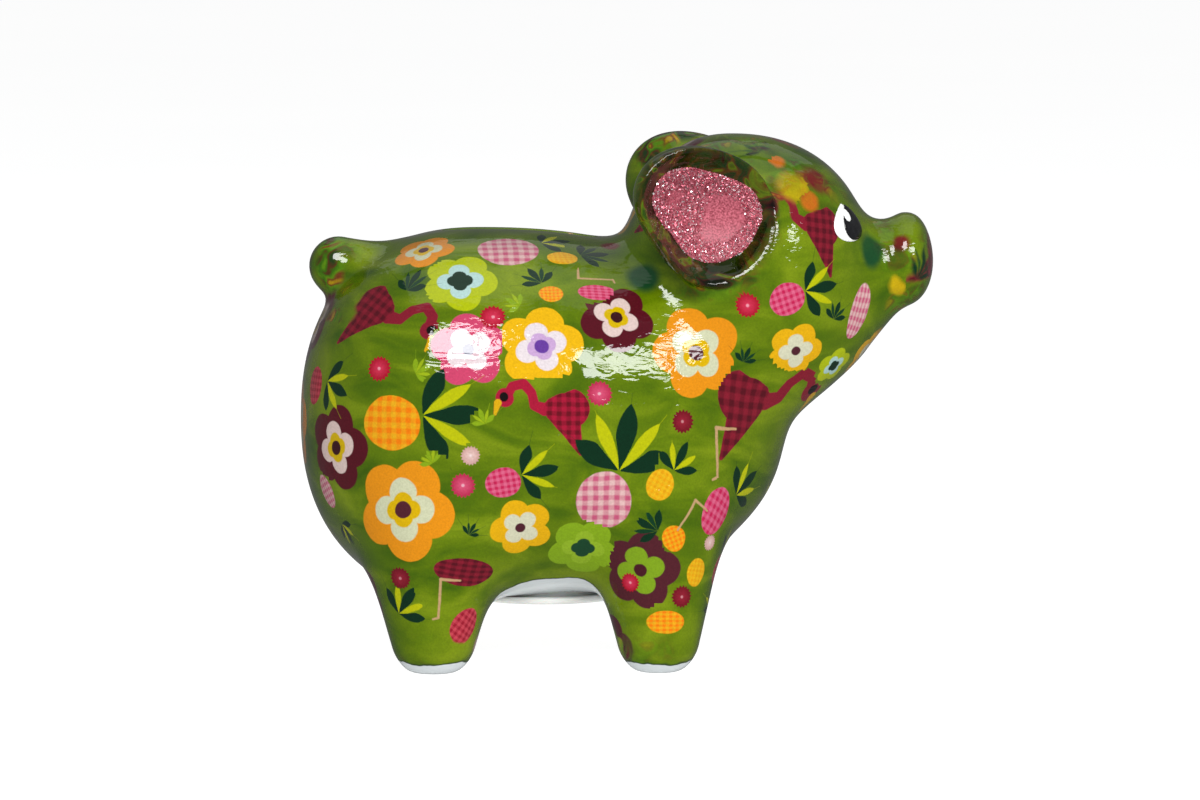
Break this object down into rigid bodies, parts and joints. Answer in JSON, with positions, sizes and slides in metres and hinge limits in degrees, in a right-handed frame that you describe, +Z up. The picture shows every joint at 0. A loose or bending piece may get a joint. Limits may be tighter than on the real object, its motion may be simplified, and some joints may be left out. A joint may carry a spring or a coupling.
{
  "type": "piggy bank",
  "caption": "Standing pig money bank with a coin slot in its back, cupped ears, a short tail and a pull-out belly bung.",
  "frame": {"origin": "on the floor plane, under the centre of the bounding box", "axes": "+X is the way the pig faces, +Y its left side, +Z up"},
  "size_m": [0.1599, 0.09, 0.134],
  "materials": {
    "printed_glaze": "printed transfer under high-gloss clear glaze",
    "pink_glitter": "fine glitter in clear adhesive",
    "white_enamel": "gloss enamel",
    "black_enamel": "gloss enamel",
    "soft_bung": "smooth moulded, translucent white"
  },
  "bodies": {
    "bank": {"body_shell": "printed_glaze", "right_ear": "printed_glaze", "left_ear": "printed_glaze", "tail": "printed_glaze", "right_ear_glitter": "pink_glitter", "left_ear_glitter": "pink_glitter", "right_eye": "white_enamel", "left_eye": "white_enamel", "right_pupil": "black_enamel", "left_pupil": "black_enamel"},
    "bung": {"stopper": "soft_bung"}
  },
  "joints": [
    {"name": "bung_pull", "type": "slide", "parent": "bank", "child": "bung", "axis": [0, 0, -1], "range_m": [0, 0.012]}
  ]
}
